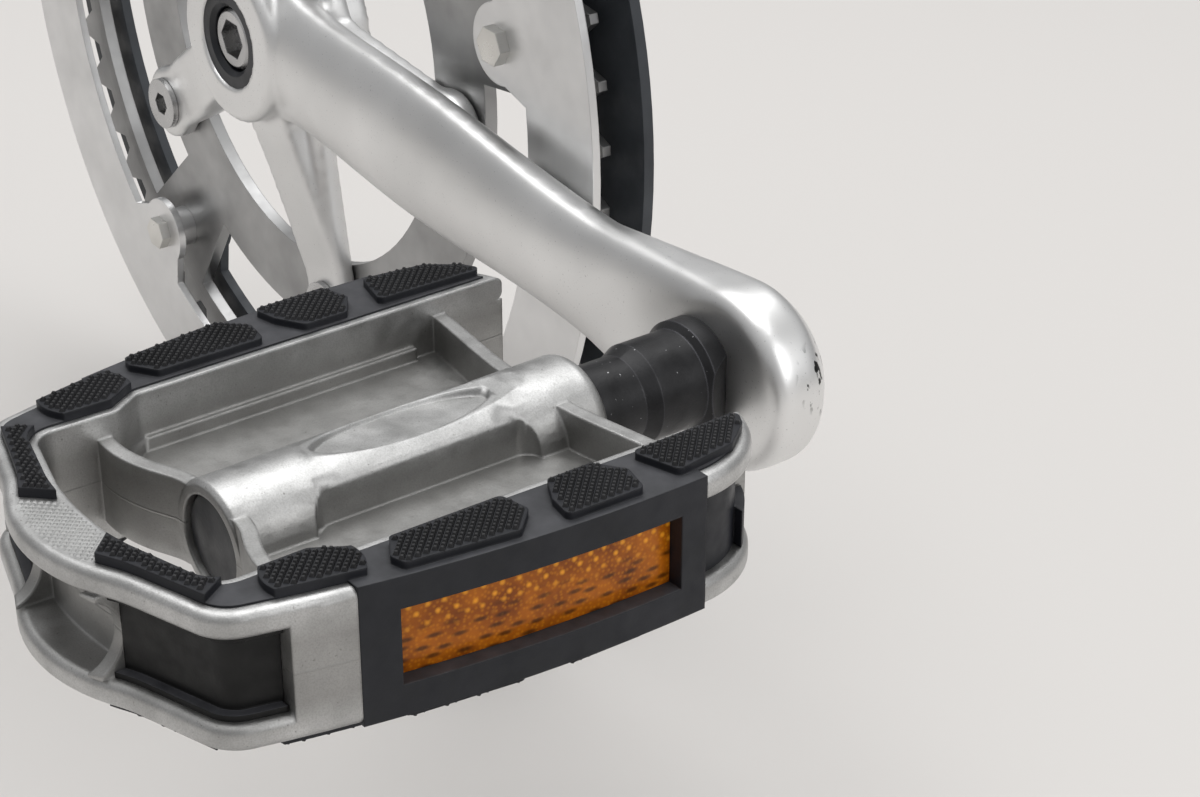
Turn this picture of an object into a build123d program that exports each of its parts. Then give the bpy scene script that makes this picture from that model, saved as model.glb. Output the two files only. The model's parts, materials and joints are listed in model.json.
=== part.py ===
"""Drive side crankset of a small-wheel bicycle with its platform pedal, in millimetres.

The origin is on the bottom bracket axis, at the inboard mouth of the crank's square taper socket.
+X is forward, towards the pedal, +Y is inboard and +Z is up. The crank stands a little below level.
"""

import os
from math import cos, radians, sin, sqrt

from build123d import *

os.makedirs("parts", exist_ok=True)

# Crank arm
crank_length = 170.0
crank_drop = 4.5
boss_depth = 26.0
boss_r = 19.0
boss_chamfer = 1.4
arm_side = 4.5
arm_back_taper = 6.0
arm_eye_r = 17.2
arm_eye_depth = 14.5
eye_lead = 5.0
eye_offset = 5.0
eye_back_bevel = 4.5
eye_front_round = 3.0
arm_back_gap = 0.9
arm_edge_round = 3.2
taper_mouth = 12.7
taper_depth = 16.0
taper_end = 11.6
extractor_r = 11.0
extractor_depth = 7.0
crank_bolt_r = 4.0
crank_bolt_head_r = 7.0
crank_bolt_head = 5.6
crank_bolt_hex = 8.0
crank_bolt_hex_depth = 4.2
bolt_head_chamfer = 0.8
cap_ring_inset = 0.6
cap_ring_gap = 0.4
cap_ring_chamfer = 1.0

# Spider and chainring
arm_count = 5
ring_bolt_circle_r = 65.0
spider_tip_r = 9.0
spider_root_half = 11.5
spider_collar = 7.0
spider_tip_half = 7.4
spider_set_back = 12.8
spider_thick = 5.0
spider_rise = 7.0
spider_rise_half = 7.5
tooth_count = 54
chain_pitch = 12.7
chain_roller_r = 3.97
ring_thick = 3.0
tooth_thick = 2.0
ring_land = 9.0
spoke_half_angle = 8.0
rim_under_teeth = 3.0
tooth_tip_height = 3.4
tip_half_angle = 0.5
root_half_angle = 0.9
ring_nut_r = 5.0
ring_nut_head_r = 6.0
ring_nut_head = 1.6
ring_bolt_r = 4.0
ring_bolt_head_r = 6.2
ring_bolt_head = 1.4
ring_bolt_hex = 5.0
ring_bolt_hex_depth = 3.0
bolt_gap = 0.1

# Guard rings
guard_overhang = 6.4
guard_band = 21.0
guard_thick = 1.8
guard_tab_inset = 7.0
guard_tab_r = 8.5
guard_tab_flare = 5.0
guard_tab_angle = 18.0
guard_spacer_r = 5.0
inner_guard_thick = 2.4
inner_guard_gap = 2.7
guard_screw_r = 2.4
guard_screw_hex = 7.0
guard_screw_head = 2.4
guard_nut_depth = 3.2
guard_screw_tail = 1.4

# Pedal spindle
flange_r = 10.2
flange_depth = 3.7
wrench_r = 9.0
wrench_end = 14.6
wrench_flat_across = 15.0
wrench_flat_tilt = 20.0
wrench_flat_length = 11.5
flat_into_flange = 1.0
shaft_r = 7.7
shaft_start = 17.3
journal_r = 6.0
journal_gap = 0.06
journal_tip_gap = 2.5
seal_gap = 0.5
thread_r = 7.1
thread_gap = 0.1
thread_inset = 1.0
thread_chamfer = 0.8

# Pedal body heights and walls
rail_half_height = 11.6
flange_thick = 4.4
wall_thick = 2.6
lip_width = 1.4
outer_lip_width = 2.4
edge_round = 1.5
strip_recess = 1.2
bare_nose_half = 6.9
floor_half = 1.2
floor_start = 33.0
ledge_half = 3.6
ledge_depth = 1.1
ledge_start = 38.0
web_thick = 2.6
outer_web_half_height = 7.4
inner_web_half_height = 8.0
post_width = 9.8
post_thick = 3.2
nose_rib_at = 13.0
nose_rib_thick = 2.6
nose_scoop_r = 7.0

# Pedal plan: distances outboard of the crank's face and forward of the spindle
rail_start = 17.6
rail_corner = 45.6
rail_round = 19.4
face_mid = (67.0, 46.0)
opening_half = 33.2
nose_reach = 128.0
nose_width = 10.0
inner_web_points = [(35.6, 6.0), (34.6, 16.5), (33.2, 25.2), (32.0, 35.0)]

# Pedal plan, outer end: distances behind the tip of the nose and forward of the spindle
nose_end = (4.7, 17.5)
corner_apex = (10.4, 36.6)
corner_round = 8.0
waist_round = 25.0
step_start = (35.5, 31.6)
step_end = (30.2, 28.2)
step_round = 2.5
pocket_apex = (15.4, 28.4)
pocket_round = 4.5
pocket_nose_end = (11.2, 12.5)
ledge_stop = 31.0
floor_stop = [(28.0, 40.0), (28.9, 18.0), (31.6, 0.0)]
outer_web_points = [(31.4, 6.0), (30.6, 11.3), (29.0, 15.1), (27.8, 19.1), (27.7, 29.5)]

# Pedal barrel
barrel_start = 27.0
barrel_stop = 29.8
barrel_r = 11.2
barrel_end_r = 10.4
barrel_shoulder = 2.6
barrel_chamfer = 0.8
cap_r = 8.1
cap_depth = 5.0
cap_thick = 3.2
cap_inset = 1.0
cap_bevel = 0.6
cap_gap = 0.1
saddle_start = 37.0
saddle_stop = 41.0
saddle_dip = 1.7
scoop_start = 42.0
scoop_stop = 43.0
scoop_depth = 3.3
oval_length = 33.0
oval_width = 9.6
oval_depth = 0.6

# Rubber treads and reflectors
strip_proud = 0.3
tread_gap = 0.05
sleeve_thick = 1.8
sleeve_start = 37.0
sleeve_stop = 30.6
fill_gap = 0.2
fill_skin_edge = 1.8
fill_skin = 1.0
plug_start = 20.4
plug_set_back = 2.4
knob_start = 18.0
knob_set_back = 0.8
knob_top = -0.5
pad_height = 1.3
window_margin = 5.0
window_stop = 6.4
window_half_height = 6.5
window_depth = 5.2
lens_thick = 2.2
lens_gap = 0.1
pad_round = 1.1
straight_pads = [
    [(20.9, 34.9), (43.0, 35.3), (40.6, 44.4), (28.6, 42.8), (23.0, 38.6)],
    [(50.1, 34.4), (58.5, 34.4), (61.5, 39.8), (62.5, 45.0), (48.3, 45.4), (46.7, 39.5)],
    [(67.0, 34.2), (87.0, 34.1), (90.0, 39.0), (89.3, 41.8), (70.5, 44.4), (66.0, 40.0)],
]
half_moon_at = (27.6, 34.6)
half_moon_r = 7.8
nose_pad = [(14.0, 4.0), (-2.0, 4.0), (-2.0, 30.0), (9.0, 33.6), (16.0, 29.0)]

# Places worked out from the sizes above
drop = radians(crank_drop)
crank_face = -(boss_depth + eye_offset)
pedal_x = crank_length * cos(drop)
pedal_z = -crank_length * sin(drop)
spider_face = boss_depth - spider_set_back
spider_back = spider_thick - spider_face
ring_back = spider_back + ring_thick
arm_back = spider_face + ring_bolt_head + arm_back_gap
eye_centre = crank_length + eye_lead
eye_back = boss_depth + eye_offset - arm_eye_depth
ring_bore_r = ring_bolt_circle_r - ring_land
pitch_r = chain_pitch / (2 * sin(radians(180 / tooth_count)))
tooth_step = 360 / tooth_count
guard_r = pitch_r + tooth_tip_height + guard_overhang
guard_in_r = guard_r - guard_band
guard_tab_circle_r = guard_in_r - guard_tab_inset
window_in_r = ring_bolt_circle_r + ring_land
window_out_r = guard_in_r + 1
guard_face = -(spider_face + guard_thick)
inner_guard_front = ring_back + inner_guard_gap
inner_guard_back = inner_guard_front + inner_guard_thick
channel_half = rail_half_height - flange_thick
pocket_reach = nose_reach - nose_width
sleeve_end = nose_reach - sleeve_stop
post_end = sleeve_end + post_width
ledge_end = nose_reach - ledge_stop
barrel_end = nose_reach - barrel_stop
journal_end = barrel_end - cap_inset - cap_thick - journal_tip_gap
saddle_end = nose_reach - saddle_stop
saddle_middle = (saddle_start + saddle_end) / 2
saddle_r = ((saddle_end - saddle_start) ** 2 / 4 + saddle_dip**2) / (2 * saddle_dip)
scoop_end = nose_reach - scoop_stop
window_start = sleeve_start + window_margin
window_end = sleeve_end - window_stop

crank_axis = Plane(origin=(0, 0, 0), x_dir=(cos(drop), 0, -sin(drop)), z_dir=(0, -1, 0))
pedal = Plane(origin=(pedal_x, crank_face, pedal_z), x_dir=(0, -1, 0), z_dir=(0, 0, 1))
spindle = Plane(origin=(pedal_x, crank_face, pedal_z), x_dir=(0, -1, 0), z_dir=(-1, 0, 0))
across = Plane(origin=(pedal_x, crank_face, pedal_z), x_dir=(1, 0, 0), z_dir=(0, -1, 0))
spindle_axis = Axis((pedal_x, crank_face, pedal_z), (0, -1, 0))


def save(part, name):
    """Label one finished piece and write its STEP file."""
    part.label = name
    export_step(part, f"parts/{name}.step")


def outboard(distance):
    """The plane square to the bottom bracket axis at this distance outboard of the origin."""
    return crank_axis.offset(distance)


def bolt_places(radius, first_angle):
    return PolarLocations(radius, arm_count, start_angle=first_angle)


def from_nose(point):
    """A plan point, given as its distance behind the tip of the nose and forward of the spindle."""
    return (nose_reach - point[0], point[1])


def other_side(point):
    return (point[0], -point[1])


# Crank arm: boss, spider, forged arm and pedal eye
# Each row: distance from the axis, outboard face, inboard face, half height of its sides, crown of the face
arm_rows = [
    (12.0, boss_depth - 1.5, spider_face - spider_thick, 16.5, 5.0),
    (45.0, boss_depth + 0.8, arm_back, 14.6, 5.0),
    (95.0, boss_depth + 3.0, arm_back + 0.5, 13.6, 4.2),
    (eye_centre - 40.0, boss_depth + 4.4, arm_back + 0.2, 12.4, 3.2),
    (eye_centre - 17.0, boss_depth + eye_offset - 0.2, eye_back + 0.4, arm_eye_r - 2.6, 1.6),
    (eye_centre - 3.0, boss_depth + eye_offset - 0.2, eye_back + 1.2, arm_eye_r - 0.6, 0.8),
]

with BuildPart() as crank_arm:
    with BuildSketch(outboard(0)):
        Circle(boss_r)
    extrude(amount=boss_depth)
    chamfer(crank_arm.edges().filter_by(GeomType.CIRCLE).sort_by(Axis.Y)[0], boss_chamfer)
    with BuildSketch(outboard(boss_depth + eye_offset - arm_eye_depth)):
        with Locations((eye_centre, 0)):
            Circle(arm_eye_r)
    extrude(amount=arm_eye_depth)
    front_edge, back_edge = crank_arm.edges().filter_by(GeomType.CIRCLE).sort_by(Axis.X)[-2:].sort_by(Axis.Y)
    fillet(front_edge, eye_front_round)
    chamfer(back_edge, eye_back_bevel)
    # The spider's plate, then the rise of each of its arms towards the boss
    with BuildSketch(outboard(spider_face - spider_thick)):
        Circle(boss_r + spider_collar)
        with PolarLocations(0, arm_count):
            Polygon(
                (0, -spider_root_half),
                (ring_bolt_circle_r, -spider_tip_half),
                (ring_bolt_circle_r, spider_tip_half),
                (0, spider_root_half),
                align=None,
            )
        with bolt_places(ring_bolt_circle_r, 0):
            Circle(spider_tip_r)
    extrude(amount=spider_thick)
    for k in range(arm_count):
        along_arm = crank_axis.x_dir.rotate(Axis((0, 0, 0), (0, -1, 0)), 360 / arm_count * k)
        with BuildSketch(Plane((0, spider_back, 0), x_dir=along_arm, z_dir=along_arm.cross(Vector(0, -1, 0)))):
            Polygon(
                (0, 0),
                (ring_bolt_circle_r - spider_tip_r, spider_thick),
                (boss_r, spider_thick + spider_rise),
                (0, spider_thick + spider_rise),
                align=None,
            )
        extrude(amount=spider_rise_half, both=True)
    for along, face, back, half, crown in arm_rows:
        section = Plane(
            origin=crank_axis.from_local_coords((along, 0, 0)), x_dir=(0, -1, 0), z_dir=crank_axis.x_dir
        )
        with BuildSketch(section) as arm_section:
            with BuildLine():
                Polyline(
                    (face - crown, -half),
                    (face - crown - arm_side, -half),
                    (back, arm_back_taper - half),
                    (back, half - arm_back_taper),
                    (face - crown - arm_side, half),
                    (face - crown, half),
                )
                ThreePointArc((face - crown, half), (face, 0), (face - crown, -half))
            make_face()
            fillet(arm_section.vertices(), arm_edge_round)
    loft()
    with BuildSketch(outboard(boss_depth)):
        Circle(extractor_r)
    extrude(amount=-extractor_depth, mode=Mode.SUBTRACT)
    with BuildSketch(outboard(0)):
        Rectangle(taper_mouth, taper_mouth)
    with BuildSketch(outboard(taper_depth)):
        Rectangle(taper_end, taper_end)
    loft(ruled=True, mode=Mode.SUBTRACT)
    with BuildSketch(outboard(taper_depth)):
        Circle(crank_bolt_r + bolt_gap)
    extrude(amount=boss_depth, mode=Mode.SUBTRACT)
    with BuildSketch(outboard(0)):
        with bolt_places(ring_bolt_circle_r, 0):
            Circle(ring_bolt_r + bolt_gap)
    extrude(amount=boss_depth, mode=Mode.SUBTRACT)
    with BuildSketch(outboard(0)):
        with Locations((crank_length, 0)):
            Circle(thread_r + thread_gap)
    extrude(amount=boss_depth + eye_offset, mode=Mode.SUBTRACT)
save(crank_arm.part, "crank_arm")

# Crank bolt and the dark ring that fills the extractor thread
with BuildPart() as crank_bolt:
    with BuildSketch(outboard(taper_depth)):
        Circle(crank_bolt_r)
    extrude(amount=boss_depth - extractor_depth - taper_depth)
    with BuildSketch(outboard(boss_depth - extractor_depth)):
        Circle(crank_bolt_head_r)
    extrude(amount=crank_bolt_head)
    chamfer(crank_bolt.edges().filter_by(GeomType.CIRCLE).sort_by(Axis.Y)[0], bolt_head_chamfer)
    with BuildSketch(outboard(boss_depth - extractor_depth + crank_bolt_head)):
        RegularPolygon(crank_bolt_hex / sqrt(3), 6)
    extrude(amount=-crank_bolt_hex_depth, mode=Mode.SUBTRACT)
save(crank_bolt.part, "crank_bolt")

with BuildPart() as extractor_ring:
    with BuildSketch(outboard(boss_depth - cap_ring_inset)):
        Circle(extractor_r)
        Circle(crank_bolt_head_r + cap_ring_gap, mode=Mode.SUBTRACT)
    extrude(amount=-(extractor_depth - cap_ring_inset))
    chamfer(extractor_ring.edges().filter_by(GeomType.CIRCLE).group_by(Axis.Y)[0].sort_by(SortBy.RADIUS)[0], cap_ring_chamfer)
save(extractor_ring.part, "extractor_ring")

# Chainring: toothed rim, spokes under the guard bolts and an inner ring on the spider
def polar(radius, degrees):
    return (radius * cos(radians(degrees)), radius * sin(radians(degrees)))


with BuildPart() as chainring:
    with BuildSketch(outboard(-spider_back - ring_thick)):
        Circle(pitch_r - chain_roller_r - rim_under_teeth)
        Circle(ring_bore_r, mode=Mode.SUBTRACT)
    extrude(amount=ring_thick)
    with BuildSketch(outboard(-spider_back - (ring_thick + tooth_thick) / 2)):
        tooth_line = []
        for k in range(tooth_count):
            middle = k * tooth_step
            root = pitch_r - chain_roller_r
            tip = pitch_r + tooth_tip_height
            tooth_line.append(polar(tip, middle - tip_half_angle))
            tooth_line.append(polar(tip, middle + tip_half_angle))
            tooth_line.append(polar(root, middle + tooth_step / 2 - root_half_angle))
            tooth_line.append(polar(root, middle + tooth_step / 2 + root_half_angle))
        Polygon(*tooth_line, align=None)
        Circle(pitch_r - chain_roller_r - 2 * rim_under_teeth, mode=Mode.SUBTRACT)
    extrude(amount=tooth_thick)
    with BuildSketch(outboard(-spider_back)):
        for k in range(arm_count):
            start = guard_tab_angle + 360 / arm_count * k + spoke_half_angle
            end = start + 360 / arm_count - 2 * spoke_half_angle
            middle = (start + end) / 2
            with BuildLine():
                Line(polar(window_in_r, start), polar(window_out_r, start))
                ThreePointArc(polar(window_out_r, start), polar(window_out_r, middle), polar(window_out_r, end))
                Line(polar(window_out_r, end), polar(window_in_r, end))
                ThreePointArc(polar(window_in_r, end), polar(window_in_r, middle), polar(window_in_r, start))
            make_face()
    extrude(amount=-ring_thick, mode=Mode.SUBTRACT)
    with BuildSketch(outboard(-spider_back)):
        with bolt_places(ring_bolt_circle_r, 0):
            Circle(ring_nut_r + bolt_gap)
        with bolt_places(guard_tab_circle_r, guard_tab_angle):
            Circle(guard_screw_r + bolt_gap)
    extrude(amount=-ring_thick, mode=Mode.SUBTRACT)
save(chainring.part, "chainring")


def guard_ring(face, thick, spacer_end):
    """A flat guard ring whose inner tabs stand on spacers against the chainring."""
    with BuildPart() as ring:
        with BuildSketch(outboard(face)):
            Circle(guard_r)
            Circle(guard_in_r, mode=Mode.SUBTRACT)
            with bolt_places(guard_tab_circle_r, guard_tab_angle):
                Circle(guard_tab_r)
            with PolarLocations(0, arm_count, start_angle=guard_tab_angle):
                Polygon(
                    (guard_tab_circle_r, -guard_tab_r),
                    (guard_in_r + 1, -guard_tab_r - guard_tab_flare),
                    (guard_in_r + 1, guard_tab_r + guard_tab_flare),
                    (guard_tab_circle_r, guard_tab_r),
                    align=None,
                )
        extrude(amount=-thick)
        with BuildSketch(outboard(face)):
            with bolt_places(guard_tab_circle_r, guard_tab_angle):
                Circle(guard_spacer_r)
        extrude(amount=spacer_end - face)
        with BuildSketch(outboard(face)):
            with bolt_places(guard_tab_circle_r, guard_tab_angle):
                Circle(guard_screw_r + bolt_gap)
        extrude(amount=spacer_end - face, mode=Mode.SUBTRACT)
        with BuildSketch(outboard(face)):
            with bolt_places(guard_tab_circle_r, guard_tab_angle):
                Circle(guard_screw_r + bolt_gap)
        extrude(amount=-thick, mode=Mode.SUBTRACT)
    return ring.part


save(guard_ring(-guard_face, guard_thick, -spider_back), "outer_guard")
save(guard_ring(-inner_guard_front, inner_guard_thick, -ring_back), "inner_guard")

# Chainring bolts with their sleeve nuts, and guard screws with their nuts
for k in range(arm_count):
    bolt_centre = polar(ring_bolt_circle_r, 360 / arm_count * k)
    with BuildPart() as ring_bolt:
        with BuildSketch(outboard(spider_face)):
            with Locations(bolt_centre):
                Circle(ring_bolt_head_r)
        extrude(amount=ring_bolt_head)
        with BuildSketch(outboard(spider_face)):
            with Locations(bolt_centre):
                Circle(ring_bolt_r)
        extrude(amount=-spider_thick)
        with BuildSketch(outboard(spider_face + ring_bolt_head)):
            with Locations(bolt_centre):
                RegularPolygon(ring_bolt_hex / sqrt(3), 6)
        extrude(amount=-ring_bolt_hex_depth, mode=Mode.SUBTRACT)
    save(ring_bolt.part, f"ring_bolt_{k + 1}")

    with BuildPart() as ring_nut:
        with BuildSketch(outboard(-ring_back)):
            with Locations(bolt_centre):
                Circle(ring_nut_head_r)
        extrude(amount=-ring_nut_head)
        with BuildSketch(outboard(-ring_back)):
            with Locations(bolt_centre):
                Circle(ring_nut_r)
        extrude(amount=ring_thick)
    save(ring_nut.part, f"ring_nut_{k + 1}")

    screw_centre = polar(guard_tab_circle_r, guard_tab_angle + 360 / arm_count * k)
    with BuildPart() as guard_screw:
        with BuildSketch(outboard(-guard_face)):
            with Locations(screw_centre):
                RegularPolygon(guard_screw_hex / sqrt(3), 6)
        extrude(amount=guard_screw_head)
        with BuildSketch(outboard(-guard_face)):
            with Locations(screw_centre):
                Circle(guard_screw_r)
        extrude(amount=guard_face - inner_guard_back - guard_nut_depth - guard_screw_tail)
    save(guard_screw.part, f"guard_screw_{k + 1}")

    with BuildPart() as guard_nut:
        with BuildSketch(outboard(-inner_guard_back)):
            with Locations(screw_centre):
                RegularPolygon(guard_screw_hex / sqrt(3), 6)
                Circle(guard_screw_r + bolt_gap, mode=Mode.SUBTRACT)
        extrude(amount=-guard_nut_depth)
    save(guard_nut.part, f"guard_nut_{k + 1}")

# Pedal spindle: thread in the crank's eye, flange, wrench flats, shaft and journal
with BuildPart() as pedal_spindle:
    with BuildSketch(spindle):
        with BuildLine():
            Polyline(
                (-arm_eye_depth + thread_inset, 0),
                (-arm_eye_depth + thread_inset, thread_r - thread_chamfer),
                (-arm_eye_depth + thread_inset + thread_chamfer, thread_r),
                (0, thread_r),
                (0, flange_r),
                (flange_depth, flange_r),
                (flange_depth + flange_r - wrench_r, wrench_r),
                (wrench_end, wrench_r),
                (shaft_start, shaft_r),
                (barrel_start - seal_gap, shaft_r),
                (barrel_start - seal_gap, journal_r),
                (journal_end, journal_r),
                (journal_end, 0),
                close=True,
            )
        make_face()
    revolve(axis=spindle_axis)
    for side in (0, 180):
        flat = across.rotated((0, 0, wrench_flat_tilt + side)).offset(flange_depth - flat_into_flange)
        with BuildSketch(flat):
            with Locations((wrench_flat_across, 0)):
                Rectangle(wrench_flat_across, 3 * flange_r)
        extrude(amount=wrench_flat_length, mode=Mode.SUBTRACT)
save(pedal_spindle.part, "pedal_spindle")

# Pedal plans, drawn outboard along x and forward along y
with BuildSketch() as whole_plan:
    with BuildLine():
        Line((rail_start, -rail_corner), (rail_start, rail_corner))
        ThreePointArc((rail_start, rail_corner), face_mid, from_nose(corner_apex))
        Line(from_nose(corner_apex), from_nose(nose_end))
        ThreePointArc(from_nose(nose_end), (nose_reach, 0), other_side(from_nose(nose_end)))
        Line(other_side(from_nose(nose_end)), other_side(from_nose(corner_apex)))
        ThreePointArc(
            other_side(from_nose(corner_apex)), other_side(face_mid), (rail_start, -rail_corner)
        )
    make_face()
    fillet(whole_plan.vertices().group_by(Axis.X)[0], rail_round)
    fillet(whole_plan.vertices().group_by(Axis.X)[-2], corner_round)
    fillet(whole_plan.vertices().group_by(Axis.X)[-1], waist_round)

# The space inside the rails and the nose runs past the open end at the crank
with BuildSketch() as inner_plan:
    with BuildLine():
        inner_line = [(0, opening_half), *(from_nose(point) for point in (step_start, step_end, pocket_apex))]
        Polyline(*inner_line, from_nose(pocket_nose_end))
        ThreePointArc(
            from_nose(pocket_nose_end), (pocket_reach, 0), other_side(from_nose(pocket_nose_end))
        )
        Polyline(*(other_side(point) for point in inner_line), other_side(from_nose(pocket_nose_end)))
        Line((0, opening_half), (0, -opening_half))
    make_face()
    fillet(inner_plan.vertices().group_by(Axis.X)[3], pocket_round)
    fillet(inner_plan.vertices().group_by(Axis.X)[2], step_round)
    fillet(inner_plan.vertices().group_by(Axis.X)[1], step_round)


def grown(plan, distance):
    """A plan's outline moved outwards by this distance, or inwards where it is negative."""
    with BuildSketch(mode=Mode.PRIVATE) as moved:
        add(plan.sketch)
        offset(amount=distance, kind=Kind.INTERSECTION)
    return moved.sketch


def band(start, end):
    """A plan of everything between two distances outboard, on the forward side."""
    with BuildSketch(mode=Mode.PRIVATE) as made:
        with Locations(((start + end) / 2, nose_reach / 2)):
            Rectangle(end - start, nose_reach)
    return made.sketch


with BuildSketch() as bare_nose:
    Polygon(
        (pocket_reach, -bare_nose_half),
        (nose_reach, -bare_nose_half - nose_width),
        (nose_reach, bare_nose_half + nose_width),
        (pocket_reach, bare_nose_half),
        align=None,
    )
with BuildSketch() as strip_plan:
    add(grown(whole_plan, -outer_lip_width))
    add(grown(inner_plan, lip_width), mode=Mode.SUBTRACT)
    add(bare_nose.sketch, mode=Mode.SUBTRACT)
with BuildSketch() as sleeve_zone:
    add(band(sleeve_start, sleeve_end))
    mirror(about=Plane.XZ)

# Bearing barrel with its saddle, side scoops and oval recess
with BuildPart() as barrel:
    with BuildSketch(spindle):
        with BuildLine():
            Polyline(
                (barrel_start + barrel_shoulder, barrel_r),
                (barrel_end - barrel_chamfer, barrel_end_r),
                (barrel_end, barrel_end_r - barrel_chamfer),
                (barrel_end, 0),
                (barrel_start, 0),
                (barrel_start, barrel_r - barrel_shoulder),
            )
            RadiusArc(
                (barrel_start, barrel_r - barrel_shoulder), (barrel_start + barrel_shoulder, barrel_r), barrel_shoulder
            )
        make_face()
    revolve(axis=spindle_axis)
    for side in (1, -1):
        with BuildSketch(spindle):
            with Locations((saddle_middle, side * (barrel_r - saddle_dip + saddle_r))):
                Circle(saddle_r)
        extrude(amount=barrel_r, both=True, mode=Mode.SUBTRACT)
        with BuildSketch(pedal):
            with Locations(((scoop_start + scoop_end) / 2, side * barrel_r)):
                RectangleRounded(scoop_end - scoop_start, 2 * scoop_depth, scoop_depth * 0.98)
        extrude(amount=barrel_r, both=True, mode=Mode.SUBTRACT)
        with BuildSketch(pedal.offset(side * (barrel_r - saddle_dip))):
            with Locations((saddle_middle, 0)):
                Ellipse(oval_length / 2, oval_width / 2)
        extrude(amount=-side * oval_depth, mode=Mode.SUBTRACT)

# Pedal body: two rounded flanges with a wall between them, webs, a thin floor and the bearing barrel
with BuildPart() as pedal_body:
    for side in (1, -1):
        with BuildSketch(pedal.offset(side * channel_half)):
            add(whole_plan.sketch)
        extrude(amount=side * flange_thick)
    fillet(pedal_body.faces().filter_by(Axis.Z).edges(), edge_round)
    with BuildSketch(pedal):
        add(grown(inner_plan, wall_thick))
        with Locations((nose_reach, nose_rib_at), (nose_reach, -nose_rib_at)):
            Rectangle(2 * nose_width, nose_rib_thick)
        add(whole_plan.sketch, mode=Mode.INTERSECT)
    extrude(amount=channel_half, both=True)
    with BuildSketch(pedal):
        with Locations(((sleeve_end + post_end) / 2, 0)):
            Rectangle(post_width, 2 * nose_reach)
        add(whole_plan.sketch, mode=Mode.INTERSECT)
        add(grown(whole_plan, -post_thick), mode=Mode.SUBTRACT)
    extrude(amount=rail_half_height - edge_round, both=True)
    with BuildSketch(pedal):
        add(inner_plan.sketch)
    extrude(amount=rail_half_height, both=True, mode=Mode.SUBTRACT)
    # The outer edge of each nose rib is scooped
    with BuildSketch(spindle):
        with Locations((nose_reach, 0)):
            Circle(nose_scoop_r)
    extrude(amount=nose_rib_at + nose_rib_thick, both=True, mode=Mode.SUBTRACT)
    # The rubber's seats: shallow strips above and below, and a sleeve along each outer face
    for side in (1, -1):
        with BuildSketch(pedal.offset(side * rail_half_height)):
            add(strip_plan.sketch)
            add(sleeve_zone.sketch)
            add(grown(inner_plan, lip_width), mode=Mode.SUBTRACT)
        extrude(amount=-side * strip_recess, mode=Mode.SUBTRACT)
    with BuildSketch(pedal):
        add(sleeve_zone.sketch)
        add(grown(whole_plan, -sleeve_thick), mode=Mode.SUBTRACT)
    extrude(amount=rail_half_height, both=True, mode=Mode.SUBTRACT)
    # Floor between the webs, the ledge along the rails and the webs themselves
    with BuildSketch(pedal):
        with BuildLine():
            Polyline((floor_start, 0), (floor_start, floor_stop[0][1]), *(from_nose(point) for point in floor_stop))
            mirror(about=Plane.XZ)
        make_face()
        add(grown(inner_plan, lip_width), mode=Mode.INTERSECT)
    extrude(amount=floor_half, both=True)
    with BuildSketch(pedal):
        with Locations(((ledge_start + ledge_end) / 2, 0)):
            Rectangle(ledge_end - ledge_start, 2 * nose_reach)
        add(grown(inner_plan, lip_width), mode=Mode.INTERSECT)
        add(grown(inner_plan, -ledge_depth), mode=Mode.SUBTRACT)
    extrude(amount=ledge_half, both=True)
    outer_web = [from_nose(point) for point in outer_web_points]
    for points, half_height in ((outer_web, outer_web_half_height), (inner_web_points, inner_web_half_height)):
        for side in (1, -1):
            with BuildSketch(pedal):
                with BuildLine():
                    Spline(*[(x, side * y) for x, y in points])
                trace(line_width=web_thick)
                add(grown(inner_plan, lip_width), mode=Mode.INTERSECT)
            extrude(amount=half_height, both=True)
    # The bearing barrel and its bores
    add(barrel.part)
    with BuildSketch(across.offset(barrel_start)):
        Circle(journal_r + journal_gap)
    extrude(amount=barrel_end - barrel_start, mode=Mode.SUBTRACT)
    with BuildSketch(across.offset(barrel_end)):
        Circle(cap_r)
    extrude(amount=-cap_depth, mode=Mode.SUBTRACT)
save(pedal_body.part, "pedal_body")

# Rubber tread: strips above and below, the sleeve on the face, the channel's filling and the end plug
with BuildSketch() as behind_wall:
    add(grown(inner_plan, wall_thick + tread_gap))
with BuildSketch() as tread_plan:
    add(grown(whole_plan, -outer_lip_width - tread_gap))
    add(grown(inner_plan, lip_width + tread_gap), mode=Mode.SUBTRACT)
    add(grown(bare_nose, tread_gap), mode=Mode.SUBTRACT)
    add(band(0, nose_reach), mode=Mode.INTERSECT)
with BuildSketch() as wrap_plan:
    add(whole_plan.sketch)
    add(band(sleeve_start + tread_gap, sleeve_end - tread_gap), mode=Mode.INTERSECT)
    add(behind_wall.sketch, mode=Mode.SUBTRACT)
with BuildSketch() as fill_zone:
    add(band(sleeve_end - wall_thick, nose_reach))
    with Locations((nose_reach, 0)):
        Rectangle(4 * nose_width, 2 * nose_rib_at + nose_rib_thick + 2 * tread_gap, mode=Mode.SUBTRACT)
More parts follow.
